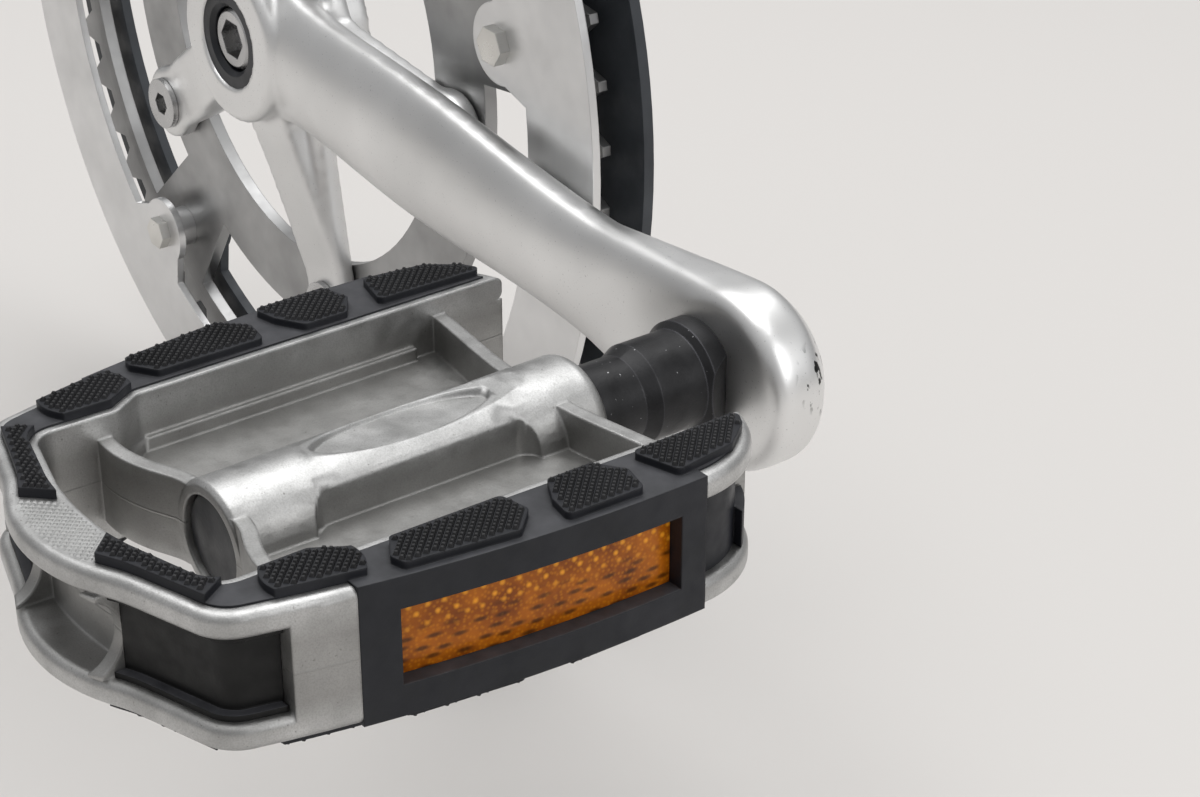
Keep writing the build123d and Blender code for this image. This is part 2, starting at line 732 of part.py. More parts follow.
with BuildPart() as front_tread:
    for side in (1, -1):
        with BuildSketch(pedal.offset(side * (rail_half_height - strip_recess))):
            add(tread_plan.sketch)
            add(wrap_plan.sketch)
        extrude(amount=side * (strip_recess + strip_proud))
    with BuildSketch(pedal):
        add(wrap_plan.sketch)
    extrude(amount=channel_half, both=True)
    with BuildSketch(pedal):
        add(wrap_plan.sketch)
        add(grown(whole_plan, tread_gap - sleeve_thick), mode=Mode.SUBTRACT)
    extrude(amount=rail_half_height, both=True)
    # Behind the bare post and round the corner the rubber stands back, with a skin on each flange
    with BuildSketch(pedal):
        add(grown(whole_plan, -post_thick - fill_gap))
        add(fill_zone.sketch, mode=Mode.INTERSECT)
        add(behind_wall.sketch, mode=Mode.SUBTRACT)
    extrude(amount=channel_half, both=True)
    for side in (1, -1):
        with BuildSketch(pedal.offset(side * channel_half)):
            add(grown(whole_plan, -fill_skin_edge))
            add(fill_zone.sketch, mode=Mode.INTERSECT)
            add(band(post_end + fill_gap, nose_reach), mode=Mode.INTERSECT)
            add(behind_wall.sketch, mode=Mode.SUBTRACT)
        extrude(amount=-side * fill_skin)
    with BuildSketch(pedal):
        add(grown(whole_plan, -plug_set_back))
        add(band(plug_start, sleeve_start + 2 * tread_gap), mode=Mode.INTERSECT)
        add(behind_wall.sketch, mode=Mode.SUBTRACT)
    extrude(amount=channel_half, both=True)
    with BuildSketch(pedal.offset(knob_top)):
        add(grown(whole_plan, -knob_set_back))
        add(band(knob_start, plug_start + 2 * wall_thick), mode=Mode.INTERSECT)
        add(behind_wall.sketch, mode=Mode.SUBTRACT)
    extrude(amount=-channel_half - knob_top)
    with BuildSketch(pedal):
        add(band(window_start, window_end))
        add(grown(whole_plan, -window_depth), mode=Mode.SUBTRACT)
    extrude(amount=window_half_height, both=True, mode=Mode.SUBTRACT)
    for side in (1, -1):
        for points in straight_pads:
            with BuildSketch(pedal.offset(side * (rail_half_height + strip_proud))) as pad:
                Polygon(*points, align=None)
                fillet(pad.vertices(), pad_round)
            extrude(amount=side * pad_height)
        with BuildSketch(pedal.offset(side * (rail_half_height + strip_proud))):
            with Locations(from_nose(half_moon_at)):
                Circle(half_moon_r)
            Polygon(*(from_nose(point) for point in nose_pad), align=None)
            add(tread_plan.sketch, mode=Mode.INTERSECT)
        extrude(amount=side * pad_height)
save(front_tread.part, "front_tread")

with BuildPart() as rear_tread:
    add(front_tread.part.rotate(spindle_axis, 180))
save(rear_tread.part, "rear_tread")

# Amber reflectors in the treads' windows
with BuildPart() as front_lens:
    with BuildSketch(pedal):
        add(band(window_start + lens_gap, window_end - lens_gap))
        add(grown(whole_plan, lens_gap + lens_thick - window_depth), mode=Mode.INTERSECT)
        add(grown(whole_plan, lens_gap - window_depth), mode=Mode.SUBTRACT)
    extrude(amount=window_half_height - lens_gap, both=True)
save(front_lens.part, "front_lens")

with BuildPart() as rear_lens:
    add(front_lens.part.rotate(spindle_axis, 180))
save(rear_lens.part, "rear_lens")

# Dust cap pressed into the barrel's outer end
with BuildPart() as dust_cap:
    with BuildSketch(across.offset(barrel_end - cap_inset)):
        Circle(cap_r - cap_gap)
    extrude(amount=-cap_thick)
    chamfer(dust_cap.edges().sort_by(Axis.Y)[0], cap_bevel)
save(dust_cap.part, "dust_cap")
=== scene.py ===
"""Looks, fine relief, light and camera for a bicycle crankset with a platform pedal, in metres.

Two solids are shown in a reworked skin: the crank's arm flows into its pedal eye, and the oval recesses
on the pedal's barrel are open. The pads get rubber studs, and the pedal's nose a knurl.
"""

import json
import math

import bmesh
import bpy
from mathutils import Matrix, Vector
from mathutils.geometry import intersect_point_tri_2d


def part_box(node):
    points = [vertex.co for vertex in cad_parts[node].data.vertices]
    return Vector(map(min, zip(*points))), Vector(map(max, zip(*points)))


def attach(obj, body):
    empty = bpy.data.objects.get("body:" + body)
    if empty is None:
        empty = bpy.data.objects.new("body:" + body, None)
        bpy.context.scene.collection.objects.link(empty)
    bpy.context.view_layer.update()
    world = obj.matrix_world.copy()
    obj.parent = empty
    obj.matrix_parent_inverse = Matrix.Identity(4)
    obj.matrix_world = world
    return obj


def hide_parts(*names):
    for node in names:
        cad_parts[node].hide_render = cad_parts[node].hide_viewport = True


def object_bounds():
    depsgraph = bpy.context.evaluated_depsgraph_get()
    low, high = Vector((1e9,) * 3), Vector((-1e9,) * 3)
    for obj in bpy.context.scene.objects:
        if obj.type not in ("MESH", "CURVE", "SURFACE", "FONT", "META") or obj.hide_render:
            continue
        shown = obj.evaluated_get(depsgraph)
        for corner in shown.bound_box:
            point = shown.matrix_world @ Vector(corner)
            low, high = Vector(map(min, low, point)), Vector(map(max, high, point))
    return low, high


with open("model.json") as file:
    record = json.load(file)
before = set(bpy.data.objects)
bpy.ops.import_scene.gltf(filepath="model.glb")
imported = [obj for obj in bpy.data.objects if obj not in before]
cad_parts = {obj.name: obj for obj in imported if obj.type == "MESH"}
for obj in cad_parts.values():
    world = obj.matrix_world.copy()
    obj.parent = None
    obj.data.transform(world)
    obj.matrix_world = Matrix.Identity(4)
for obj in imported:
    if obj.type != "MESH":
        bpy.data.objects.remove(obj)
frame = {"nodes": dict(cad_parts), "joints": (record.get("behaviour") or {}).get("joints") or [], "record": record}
cad_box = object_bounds()

MM = 0.001

# Places in the frame: the pedal's axis runs outboard, along -Y, from the crank's face
spindle_at = Vector(frame["joints"][0]["pos_m"])
pedal_x = spindle_at.x
pedal_z = spindle_at.z
body_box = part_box("pedal_body")
crank_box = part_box("crank_arm")
crank_face = crank_box[0][1]
nose_tip = body_box[0][1]
lens_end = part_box("front_lens")[0][1]
rail_half = (body_box[1][2] - body_box[0][2]) / 2


def add_object(name, data):
    """A new object for this data, linked to the scene."""
    made = bpy.data.objects.new(name, data)
    bpy.context.collection.objects.link(made)
    return made


# Camera, as fitted to the photograph: two of its axes, and its place from where the spindle meets the crank
CAMERA_RIGHT = Vector((0.6133, 0.7898, 0.0014))
CAMERA_BACK = Vector((0.7021, -0.5460, 0.4571))
CAMERA_FROM_SPINDLE = Vector((0.3043, -0.2582, 0.1994))
FOCAL_PIXELS = 2529.0
PHOTO_WIDTH = 1200.0
SENSOR = 36.0
CLIP_START = 0.01
CLIP_END = 20.0


def add_camera():
    data = bpy.data.cameras.new("camera")
    data.sensor_width = SENSOR
    data.lens = SENSOR * FOCAL_PIXELS / PHOTO_WIDTH
    data.clip_start = CLIP_START
    data.clip_end = CLIP_END
    right = CAMERA_RIGHT.normalized()
    back = (CAMERA_BACK - CAMERA_BACK.dot(right) * right).normalized()
    up = back.cross(right)
    place = Matrix((right, up, back)).transposed().to_4x4()
    place.translation = Vector((pedal_x, crank_face, pedal_z)) + CAMERA_FROM_SPINDLE
    camera = add_object("camera", data)
    camera.matrix_world = place
    bpy.context.scene.camera = camera


add_camera()

# Helpers for node materials

# Most values of a noise lie between these two
NOISE_LOW = 0.3
NOISE_HIGH = 0.7

# The colour sockets of a Mix node, which has others of the same names
MIX_FIRST = 6
MIX_LAST = 7
MIX_RESULT = 2

# A face counts as flat from this likeness of its rounded normal to its true one
FLAT_FROM = 0.995

# A face starts to count as level at this upward share of its normal, and fully does at the next
LEVEL_START = 0.85
LEVEL_END = 0.97


def feed(made, socket, value):
    """Give a socket a node's output, a colour of three parts, or a plain value."""
    if isinstance(value, bpy.types.NodeSocket):
        made.node_tree.links.new(value, socket)
    elif socket.type == "RGBA":
        socket.default_value = (*value, 1.0)
    else:
        socket.default_value = value


def node(made, kind, inputs=None, **settings):
    """A new node of this kind, with its own properties set and its inputs fed."""
    new = made.node_tree.nodes.new(kind)
    for key, value in settings.items():
        setattr(new, key, value)
    for key, value in (inputs or {}).items():
        feed(made, new.inputs[key], value)
    return new


def shader_input(made, name):
    return made.node_tree.nodes["Principled BSDF"].inputs[name]


def material(name, color, metallic=0.0, roughness=0.5, **sockets):
    """A Principled material whose uniform values sit on the shader's own sockets.

    A socket that gets a link as well keeps its plain value for viewers that read no nodes.
    """
    made = bpy.data.materials.new(name)
    made.use_nodes = True
    feed(made, shader_input(made, "Base Color"), color)
    feed(made, shader_input(made, "Metallic"), metallic)
    feed(made, shader_input(made, "Roughness"), roughness)
    for socket, value in sockets.items():
        feed(made, shader_input(made, socket.replace("_", " ")), value)
    return made


def place_of(made):
    return node(made, "ShaderNodeTexCoord").outputs["Object"]


def fitted(made, vector, degrees=0.0, stretch=(1.0, 1.0, 1.0)):
    """A vector stretched along its axes and then turned about Z by this angle."""
    rotation = (0.0, 0.0, math.radians(degrees))
    fit = node(made, "ShaderNodeMapping", {"Vector": vector, "Rotation": rotation, "Scale": stretch})
    return fit.outputs["Vector"]


def noise(made, scale, detail=3.0, stretch=(1.0, 1.0, 1.0)):
    """A noise value in object space, with scale in features per metre."""
    inputs = {"Vector": fitted(made, place_of(made), stretch=stretch), "Scale": scale, "Detail": detail}
    return node(made, "ShaderNodeTexNoise", inputs).outputs["Fac"]


def ramp(made, value, first, last, low=NOISE_LOW, high=NOISE_HIGH):
    """The colour between first and last as value goes from low to high."""
    steps = node(made, "ShaderNodeValToRGB", {"Fac": value})
    for element, position, color in zip(steps.color_ramp.elements, (low, high), (first, last)):
        element.position = position
        element.color = (*color, 1.0)
    return steps.outputs["Color"]


def span(made, value, first, last, low=NOISE_LOW, high=NOISE_HIGH):
    """value moved from the range low to high into the range first to last."""
    inputs = {"Value": value, "From Min": low, "From Max": high, "To Min": first, "To Max": last}
    return node(made, "ShaderNodeMapRange", inputs).outputs["Result"]


def above(made, value, low, high):
    """0 where value is up to low, 1 where it is high or more, and a rise between them."""
    return span(made, value, 0.0, 1.0, low, high)


def below(made, value, low, high):
    """1 where value is up to low, 0 where it is high or more, and a fall between them."""
    return span(made, value, 1.0, 0.0, low, high)


def math_of(made, operation, *values):
    """One operation on numbers or nodes' outputs."""
    return node(made, "ShaderNodeMath", dict(enumerate(values)), operation=operation).outputs["Value"]


def mix(made, factor, first, last):
    """first where factor is 0 and last where it is 1; each is a colour or a node's output."""
    inputs = {"Factor": factor, MIX_FIRST: first, MIX_LAST: last}
    return node(made, "ShaderNodeMix", inputs, data_type="RGBA").outputs[MIX_RESULT]


def axes_of(made, vector):
    """The X, Y and Z of a vector, by name."""
    return node(made, "ShaderNodeSeparateXYZ", {"Vector": vector}).outputs


def paint(made, color):
    feed(made, shader_input(made, "Base Color"), color)


def gloss(made, scale, least, most):
    """Roughness that drifts between two values, with scale in features per metre."""
    feed(made, shader_input(made, "Roughness"), span(made, noise(made, scale), least, most))


def rounded_edges(made, radius):
    """Light catches each edge as if it were rounded by this radius."""
    normal = node(made, "ShaderNodeBevel", {"Radius": radius}, samples=4).outputs["Normal"]
    feed(made, shader_input(made, "Normal"), normal)
    return normal


def worn_edges(made, rounded, reach):
    """1 on an edge and 0 away from it, from how far the rounded normal leaves the true one."""
    true_normal = node(made, "ShaderNodeNewGeometry").outputs["Normal"]
    likeness = node(made, "ShaderNodeVectorMath", {0: rounded, 1: true_normal}, operation="DOT_PRODUCT")
    return below(made, likeness.outputs["Value"], 1.0 - reach, FLAT_FROM)


def relief(made, height, strength, distance):
    """Bump from a height value, on top of whatever normal the shader already has."""
    bumped = node(made, "ShaderNodeBump", {"Height": height, "Strength": strength, "Distance": distance})
    normal = shader_input(made, "Normal")
    if normal.is_linked:
        feed(made, bumped.inputs["Normal"], normal.links[0].from_socket)
    feed(made, normal, bumped.outputs["Normal"])


def upward(made):
    """1 on faces that look along the piece's own height and 0 on upright ones, at any pose."""
    normal = node(made, "ShaderNodeTexCoord").outputs["Normal"]
    return above(made, math_of(made, "ABSOLUTE", axes_of(made, normal)["Z"]), LEVEL_START, LEVEL_END)


def height_from_spindle(made):
    """The distance above or below the spindle's axis, in metres."""
    return math_of(made, "ABSOLUTE", math_of(made, "SUBTRACT", axes_of(made, place_of(made))["Z"], pedal_z))


# Metals

# The scuffs on the crank lie round one place on the eye's rim, and fade between two distances from it
SCUFFS_AT = (crank_box[1][0] - 1.0 * MM, crank_face + 11.5 * MM, pedal_z + 4.0 * MM)
SCUFFS_INNER = 5.0 * MM
SCUFFS_OUTER = 7.5 * MM

# The casting's painted shade, darker where it lies near the axis's height, and its parting line are full up to one
# height from the spindle's axis and end at the next
PAINTED_SHADE_FULL = 5.0 * MM
PAINTED_SHADE_END = 9.5 * MM
PARTING_FULL = 0.05 * MM
PARTING_END = 0.25 * MM


def polished_alloy():
    """The crank: forged and satin polished along its length, with a few black scuffs by the eye."""
    made = material("polished_alloy", (0.76, 0.76, 0.75), metallic=1.0, roughness=0.36)
    rounded_edges(made, 1.2 * MM)
    satin = ramp(made, noise(made, 22), (0.70, 0.70, 0.695), (0.82, 0.82, 0.815), 0.35, 0.65)
    specks = above(made, noise(made, 2600, detail=1.0), 0.70, 0.78)
    specked = mix(made, specks, satin, (0.55, 0.55, 0.55))
    ends = {0: place_of(made), 1: SCUFFS_AT}
    distance = node(made, "ShaderNodeVectorMath", ends, operation="DISTANCE").outputs["Value"]
    close = below(made, distance, SCUFFS_INNER, SCUFFS_OUTER)
    streaks = above(made, noise(made, 330, detail=5.0, stretch=(1.0, 1.5, 0.7)), 0.572, 0.595)
    scuffs = math_of(made, "MULTIPLY", close, streaks)
    paint(made, mix(made, scuffs, specked, (0.03, 0.03, 0.03)))
    gloss(made, 60, 0.31, 0.42)
    relief(made, noise(made, 900, detail=2.0, stretch=(0.08, 1.0, 1.0)), 0.25, 0.02 * MM)
    return made


def cast_alloy():
    """The pedal's casting: light grey and sandy, with painted shade where it lies near the axis's height, and a
    fine parting line round it.
    """
    made = material("cast_alloy", (0.55, 0.55, 0.55), metallic=1.0, roughness=0.45)
    rounded_edges(made, 0.7 * MM)
    patches = ramp(made, noise(made, 120, detail=5.0), (0.43, 0.43, 0.425), (0.60, 0.60, 0.595), 0.32, 0.68)
    grain = span(made, noise(made, 3600), 0.0, 0.28, 0.42, 0.64)
    sandy = mix(made, grain, patches, (0.24, 0.24, 0.235))
    pits = span(made, noise(made, 1500), 0.0, 0.7, 0.66, 0.76)
    pitted = mix(made, pits, sandy, (0.20, 0.195, 0.185))
    # Painted shade: darker where the casting lies near the axis's height, between the rails
    painted_shade_inside = span(made, height_from_spindle(made), 0.60, 0.0, PAINTED_SHADE_FULL, PAINTED_SHADE_END)
    shaded_casting = mix(made, painted_shade_inside, pitted, (0.23, 0.225, 0.215))
    parting = below(made, height_from_spindle(made), PARTING_FULL, PARTING_END)
    paint(made, mix(made, math_of(made, "MULTIPLY", parting, 0.4), shaded_casting, (0.30, 0.30, 0.29)))
    gloss(made, 300, 0.37, 0.49)
    relief(made, noise(made, 2600), 0.45, 0.06 * MM)
    relief(made, noise(made, 260, detail=2.0), 0.25, 0.20 * MM)
    relief(made, parting, 0.6, 0.08 * MM)
    return made


def turned_metal(name, dark, light, rough, grain, depth, rounding=0.3):
    """A machined or plated metal whose shade and gloss drift a little; depth and rounding are in mm."""
    made = material(name, light, metallic=1.0)
    rounded_edges(made, rounding * MM)
    paint(made, ramp(made, noise(made, 70), dark, light))
    gloss(made, 210, *rough)
    relief(made, noise(made, grain, detail=2.0), 0.6, depth * MM)
    return made


def blackened_steel():
    """The spindle: black oxide with a dry grain and a few bright nicks."""
    made = material("black_steel", (0.02, 0.02, 0.022), metallic=0.3, roughness=0.38, Specular_IOR_Level=0.4)
    edges = worn_edges(made, rounded_edges(made, 0.4 * MM), 0.08)
    base = ramp(made, noise(made, 160, detail=4.0), (0.006, 0.006, 0.007), (0.020, 0.020, 0.022))
    nicks = above(made, noise(made, 1300, detail=1.0), 0.76, 0.80)
    flecked = mix(made, nicks, base, (0.35, 0.35, 0.36))
    paint(made, mix(made, edges, flecked, (0.07, 0.07, 0.08)))
    gloss(made, 240, 0.30, 0.48)
    relief(made, noise(made, 2200), 0.6, 0.05 * MM)
    return made


# Rubbers and plastics

# The treads' flat strips lie just proud of the rails, and the painted sheen on them ends below the pads' tops
STRIP_TOP = rail_half + 0.6 * MM
SHEEN_END = STRIP_TOP + 0.2 * MM

# The rubber in the nose's recessed windows gets painted shade, near black: outboard of the lens, and between the
# rails
WINDOWS_FULL = lens_end - 12.0 * MM
WINDOWS_START = lens_end - 10.0 * MM
WINDOWS_INNER = rail_half - 3.0 * MM
WINDOWS_OUTER = rail_half - 2.0 * MM

# The lens has painted shade as dark dashes below and painted highlights as bright dots above, and one gives way to
# the other between these heights
DASHES_FULL = pedal_z - 1.0 * MM
DOTS_FULL = pedal_z + 2.0 * MM


def moulded(name, dark, light, rough, rounding=0.3):
    """A rubber or plastic with a fine grain and a slight drift of shade; rounding is in mm."""
    made = material(name, light, Specular_IOR_Level=0.4)
    rounded_edges(made, rounding * MM)
    paint(made, ramp(made, noise(made, 90, detail=4.0), dark, light))
    gloss(made, 260, *rough)
    relief(made, noise(made, 1800, detail=2.0), 0.6, 0.03 * MM)
    return made


def tread_rubber():
    """Navy-black rubber, with a painted sheen on the flat strips between the pads and painted shade in the nose's
    recessed windows.
    """
    made = material("tread_rubber", (0.02, 0.02, 0.025), Specular_IOR_Level=0.35)
    rounded_edges(made, 0.5 * MM)
    body = ramp(made, noise(made, 110, detail=4.0), (0.007, 0.008, 0.011), (0.014, 0.015, 0.020))
    # Painted sheen: lighter on the flat faces that look up or down, below the pads' tops
    painted_sheen = ramp(made, noise(made, 200, detail=5.0), (0.030, 0.031, 0.035), (0.062, 0.063, 0.070))
    below_pads = below(made, height_from_spindle(made), STRIP_TOP, SHEEN_END)
    sheen_faces = math_of(made, "MULTIPLY", upward(made), below_pads)
    # Painted shade: near black in the recessed windows outboard of the lens, between the rails
    outboard = below(made, axes_of(made, place_of(made))["Y"], WINDOWS_FULL, WINDOWS_START)
    between_rails = below(made, height_from_spindle(made), WINDOWS_INNER, WINDOWS_OUTER)
    window_shade = math_of(made, "MULTIPLY", outboard, between_rails)
    paint(made, mix(made, sheen_faces, mix(made, window_shade, body, (0.002, 0.002, 0.002)), painted_sheen))
    gloss(made, 300, 0.42, 0.60)
    relief(made, noise(made, 2400, detail=2.0), 0.5, 0.03 * MM)
    return made


def grid_of(made, vector, scale, randomness):
    """The distance to the nearest point of a flat grid."""
    inputs = {"Vector": vector, "Scale": scale, "Randomness": randomness}
    return node(made, "ShaderNodeTexVoronoi", inputs, voronoi_dimensions="2D").outputs["Distance"]


def amber_lens():
    """Amber plastic over rows of small prisms, with painted highlights as bright dots in its upper band and
    painted shade as dark dashes below.
    """
    plastic = {"Specular_IOR_Level": 0.2, "Coat_Weight": 0.15, "Coat_Roughness": 0.1}
    made = material("amber_lens", (0.40, 0.12, 0.006), roughness=0.32, **plastic)
    parts = axes_of(made, place_of(made))
    flat = node(made, "ShaderNodeCombineXYZ", {"X": parts["Y"], "Y": parts["Z"]}).outputs["Vector"]
    diamonds = fitted(made, flat, 45.0)
    coarse = grid_of(made, diamonds, 460.0, 0.35)
    fine = grid_of(made, diamonds, 1100.0, 0.85)
    slots = grid_of(made, fitted(made, flat, 28.0, (0.32, 1.0, 1.0)), 620.0, 0.45)
    upper = above(made, parts["Z"], DASHES_FULL, DOTS_FULL)
    lower = math_of(made, "SUBTRACT", 1.0, upper)
    drift = ramp(made, noise(made, 150, detail=5.0), (0.22, 0.050, 0.001), (0.46, 0.125, 0.002), 0.36, 0.64)
    # Painted glints: fine bright points over the amber
    painted_glints = math_of(made, "MULTIPLY", below(made, fine, 0.05, 0.40), 0.45)
    glinted_amber = mix(made, painted_glints, drift, (0.66, 0.23, 0.006))
    # Painted shade: dark dashes in the lower band
    painted_dash_shade = math_of(made, "MULTIPLY", span(made, slots, 0.80, 0.0, 0.12, 0.34), lower)
    shaded = mix(made, painted_dash_shade, glinted_amber, (0.05, 0.014, 0.001))
    # Painted highlights: bright dots in the upper band
    painted_dot_highlights = math_of(made, "MULTIPLY", span(made, coarse, 0.9, 0.0, 0.08, 0.28), upper)
    paint(made, mix(made, painted_dot_highlights, shaded, (0.90, 0.36, 0.02)))
    relief(made, coarse, 0.4, 0.12 * MM)
    relief(made, fine, 0.3, 0.10 * MM)
    return made


# Each slot's dark and light shade, range of roughness, grain per metre and its depth in mm
TURNED_METALS = {
    # ring_alloy's greys are darker than the guard's: painted shade on the chainring that sits between the guards
    "ring_alloy": ((0.30, 0.30, 0.30), (0.42, 0.42, 0.42), (0.30, 0.42), 900, 0.03),
    "guard_alloy": ((0.66, 0.66, 0.66), (0.76, 0.76, 0.76), (0.30, 0.40), 700, 0.02),
    "bolt_steel": ((0.42, 0.42, 0.42), (0.60, 0.60, 0.60), (0.22, 0.34), 1200, 0.02),
    "zinc_steel": ((0.56, 0.55, 0.52), (0.74, 0.73, 0.70), (0.24, 0.38), 1200, 0.02),
}

# Each slot's dark and light shade and range of roughness
PLASTICS = {
    "guard_plastic": ((0.030, 0.034, 0.040), (0.050, 0.056, 0.064), (0.42, 0.60)),
    "black_plastic": ((0.008, 0.009, 0.012), (0.020, 0.022, 0.028), (0.28, 0.46)),
}

materials = {
    "crank_alloy": polished_alloy(),
    "pedal_alloy": cast_alloy(),
    "spindle_steel": blackened_steel(),
    "tread_rubber": tread_rubber(),
    "amber_plastic": amber_lens(),
}
for slot, look in TURNED_METALS.items():
    materials[slot] = turned_metal(slot, *look)
for slot, look in PLASTICS.items():
    materials[slot] = moulded(slot, *look)


def dress(mesh, slot):
    """Give a mesh the material of this slot."""
    mesh.materials.clear()
    mesh.materials.append(materials[slot])
    mesh.shade_smooth()


for subpart in frame["record"]["subparts"]:
    dress(frame["nodes"][subpart["node"]].data, subpart["material_slot"])


# Helpers for pieces that start from a CAD node's mesh
def shell_of(name):
    """An editable copy of a CAD node's mesh."""
    shell = bmesh.new()
    shell.from_mesh(frame["nodes"][name].data)
    return shell


def object_of(shell, name):
    """A linked object that holds this shell's mesh."""
    mesh = bpy.data.meshes.new(name)
    shell.to_mesh(mesh)
    shell.free()
    return add_object(name, mesh)


def modified(shell, kind, **settings):
    """The mesh that one modifier of this kind makes from a shell."""
    source = object_of(shell, "source")
    change = source.modifiers.new("change", kind)
    for key, value in settings.items():
        setattr(change, key, value)
    made = bpy.data.meshes.new_from_object(source.evaluated_get(bpy.context.evaluated_depsgraph_get()))
    bpy.data.objects.remove(source)
    return made


def cut_from(shell, cutter):
    """The mesh that is left of a shell once the space inside a closed cutter is taken out."""
    tool = object_of(cutter, "cutter")
    left = modified(shell, "BOOLEAN", operation="DIFFERENCE", solver="EXACT", object=tool)
    bpy.data.objects.remove(tool)
    return left


# The casting's oval recesses lie in the middle of the saddles of its barrel, and they are open, where the
# solid keeps a thin skin over them. The cutter's floor and top are heights from the pedal's axis.
OVAL_HALF_WIDTH = 4.9 * MM
OVAL_HALF_LENGTH = 16.6 * MM
OVAL_FLOOR = 8.85 * MM
OVAL_TOP = 13.0 * MM
OVAL_DRAFT = 1.12
OVAL_STEPS = 96
SADDLE_START = crank_face - 37.0 * MM
SADDLE_END = nose_tip + 41.0 * MM
OVAL_MIDDLE = (SADDLE_START + SADDLE_END) / 2
WELD_WITHIN = 0.001 * MM
CREASE = math.radians(9)


def oval_ring(cutter, height, scale):
    """The cutter's corners at this height above the pedal's axis, or below it where it is negative."""
    ring = []
    for step in range(OVAL_STEPS):
        turn = step * math.tau / OVAL_STEPS
        x = pedal_x + scale * OVAL_HALF_WIDTH * math.cos(turn)
        y = OVAL_MIDDLE + scale * OVAL_HALF_LENGTH * math.sin(turn)
        ring.append(cutter.verts.new((x, y, pedal_z + height)))
    return ring


def open_casting():
    """The pedal's casting with both ovals open, their walls leaning outwards."""
    cutter = bmesh.new()
    for side in (1, -1):
        low = oval_ring(cutter, side * OVAL_FLOOR, 1.0)
        high = oval_ring(cutter, side * OVAL_TOP, OVAL_DRAFT)
        cutter.faces.new(low)
        cutter.faces.new(high)
        for k in range(OVAL_STEPS):
            after = (k + 1) % OVAL_STEPS
            cutter.faces.new((low[k], low[after], high[after], high[k]))
    bmesh.ops.recalc_face_normals(cutter, faces=cutter.faces)
    shell = shell_of("pedal_body")
    bmesh.ops.remove_doubles(shell, verts=shell.verts, dist=WELD_WITHIN)
    skin = cut_from(shell, cutter)
    dress(skin, "pedal_alloy")
    skin.set_sharp_from_angle(angle=CREASE)
    piece = add_object("pedal_casting", skin)
    piece.modifiers.new("flat_faces", "WEIGHTED_NORMAL").keep_sharp = True
    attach(piece, "pedal")
    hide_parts("pedal_body")


open_casting()

# The crank's arm flows into the pedal eye, where the solid has a small step. The eye's round is centred
# beyond the pedal's axis, and its rings are given as depth from the crank's face and radius, in mm.
EYE_LEAD = 5.0 * MM
EYE_RINGS_MM = ((0.0, 14.2), (0.9, 16.3), (3.0, 17.2), (10.0, 17.2), (14.5, 12.7))
EYE_TURNS = [math.radians(degrees) for degrees in range(90, 271, 10)]
FLOW_LENGTH = 35.0 * MM
BORE_RADIUS = 7.4 * MM
BORE_LENGTH = 58.0 * MM
BORE_SEGMENTS = 64
CRANK_VOXEL = 0.7 * MM

# The skin is smoothed a few times all over, and many more on the arm. That second smoothing leaves the
# pedal's bore and the crank's boss out: it sets in between two distances from the axis of each.
EVEN_TIMES = 3
FLOW_TIMES = 24
BORE_KEPT = 11.0 * MM
BORE_FREE = 14.0 * MM
BOSS_KEPT = 20.0 * MM
BOSS_FREE = 34.0 * MM

arm_along = Vector((pedal_x, 0.0, pedal_z))
crank_length = arm_along.length
arm_along.normalize()
arm_across = Vector((-arm_along.z, 0.0, arm_along.x))


def arm_section(distance):
    """The corners of the arm's outline at this distance from the crank's axis."""
    shell = shell_of("crank_arm")
    everything = list(shell.verts) + list(shell.edges) + list(shell.faces)
    plane = {"plane_co": arm_along * distance, "plane_no": arm_along}
    found = bmesh.ops.bisect_plane(shell, geom=everything, **plane)
    points = [item.co.copy() for item in found["geom_cut"] if isinstance(item, bmesh.types.BMVert)]
    shell.free()
    return points


def eye_points():
    """Points on the half of the eye's round that looks back to the crank's axis."""
    middle = arm_along * (crank_length + EYE_LEAD)
    for depth, radius in EYE_RINGS_MM:
        for turn in EYE_TURNS:
            reach = arm_along * math.cos(turn) + arm_across * math.sin(turn)
            yield middle + reach * radius * MM + Vector((0.0, crank_face + depth * MM, 0.0))


def bored_hull(points):
    """The smallest convex block round these points, with the pedal's thread bored through it."""
    block = bmesh.new()
    corners = [block.verts.new(point) for point in points]
    made = bmesh.ops.convex_hull(block, input=corners)
    unused = [item for item in made["geom_interior"] if isinstance(item, bmesh.types.BMVert)]
    bmesh.ops.delete(block, geom=unused, context="VERTS")
    bore = bmesh.new()
    upright = Matrix.Rotation(math.radians(90), 4, "X")
    place = Matrix.Translation((pedal_x, crank_face, pedal_z)) @ upright
    size = {"radius1": BORE_RADIUS, "radius2": BORE_RADIUS, "depth": BORE_LENGTH}
    bmesh.ops.create_cone(bore, cap_ends=True, segments=BORE_SEGMENTS, matrix=place, **size)
    return cut_from(block, bore)


def rise(value, low, high):
    """0 up to low, 1 from high on, and a straight rise between them."""
    return min(max((value - low) / (high - low), 0.0), 1.0)


